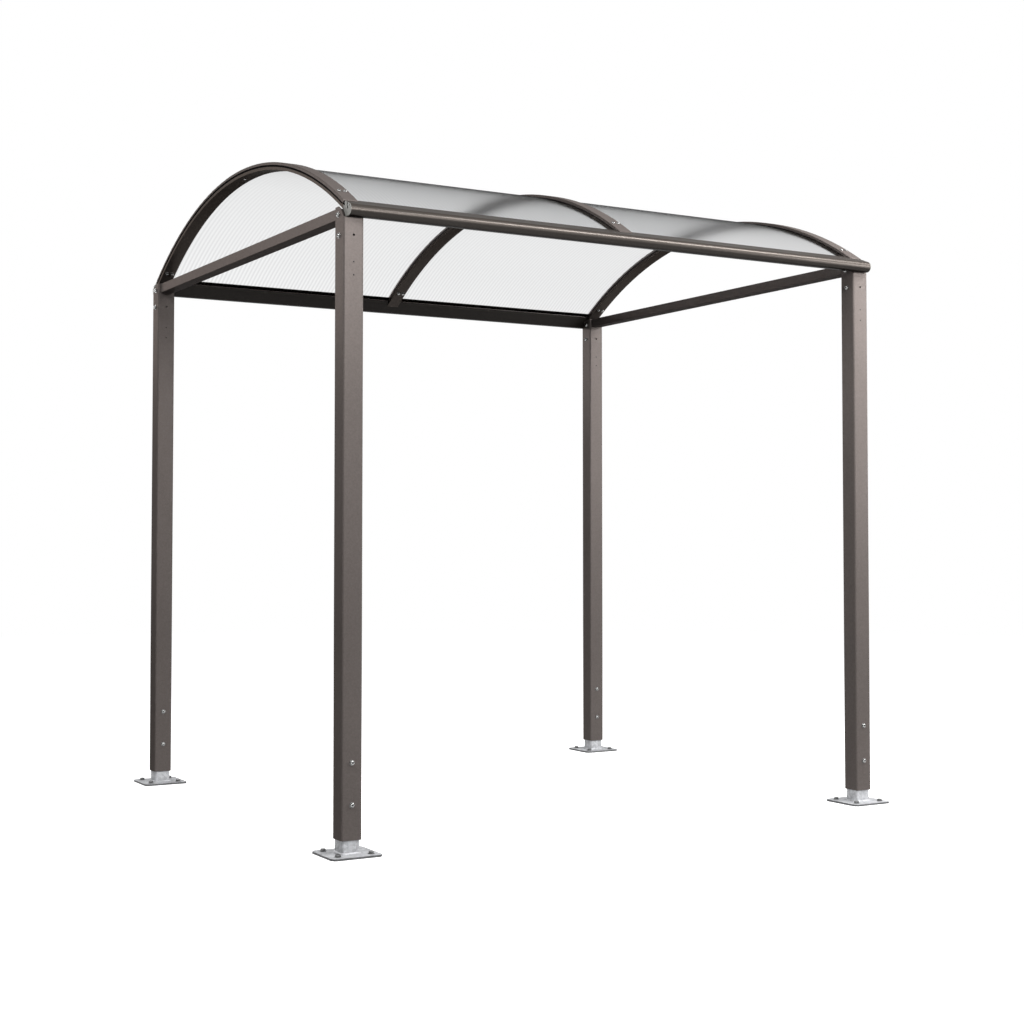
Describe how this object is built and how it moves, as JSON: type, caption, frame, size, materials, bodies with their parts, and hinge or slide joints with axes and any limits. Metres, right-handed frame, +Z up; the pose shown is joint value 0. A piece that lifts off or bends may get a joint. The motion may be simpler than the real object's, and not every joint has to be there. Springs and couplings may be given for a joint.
{
  "type": "bike shelter",
  "caption": "Free-standing open shelter: square posts on bolted feet carry a barrel-vaulted roof of clear curved sheets.",
  "frame": {"origin": "on the ground, at the middle of the shelter's box, midway between the four posts", "axes": "+Z up, +X along the shelter's length, -Y towards its front"},
  "size_m": [2.62, 2.3, 2.677],
  "materials": {
    "frame_paint": "fine-textured matt powder coat, brown grey",
    "galvanised": "hot-dip galvanised, spangled",
    "bare_aluminium": "mill finish",
    "clear_sheet": "clear fluted twin-wall polycarbonate",
    "seal_rubber": "black EPDM"
  },
  "bodies": {
    "root": {"arch_cap_left": "frame_paint", "arch_cap_middle": "frame_paint", "arch_cap_right": "frame_paint", "arch_left": "frame_paint", "arch_middle": "frame_paint", "arch_right": "frame_paint", "base_front_left": "galvanised", "base_front_right": "galvanised", "base_rear_left": "galvanised", "base_rear_right": "galvanised", "cross_rail_left": "frame_paint", "cross_rail_right": "frame_paint", "eave_end_front_left": "bare_aluminium", "eave_end_front_right": "bare_aluminium", "eave_end_rear_left": "bare_aluminium", "eave_end_rear_right": "bare_aluminium", "eave_front": "frame_paint", "eave_rear": "frame_paint", "post_front_left": "frame_paint", "post_front_right": "frame_paint", "post_rear_left": "frame_paint", "post_rear_right": "frame_paint", "roof_sheet_left": "clear_sheet", "roof_sheet_right": "clear_sheet", "seal_left": "seal_rubber", "seal_middle": "seal_rubber", "seal_right": "seal_rubber"}
  },
  "joints": []
}
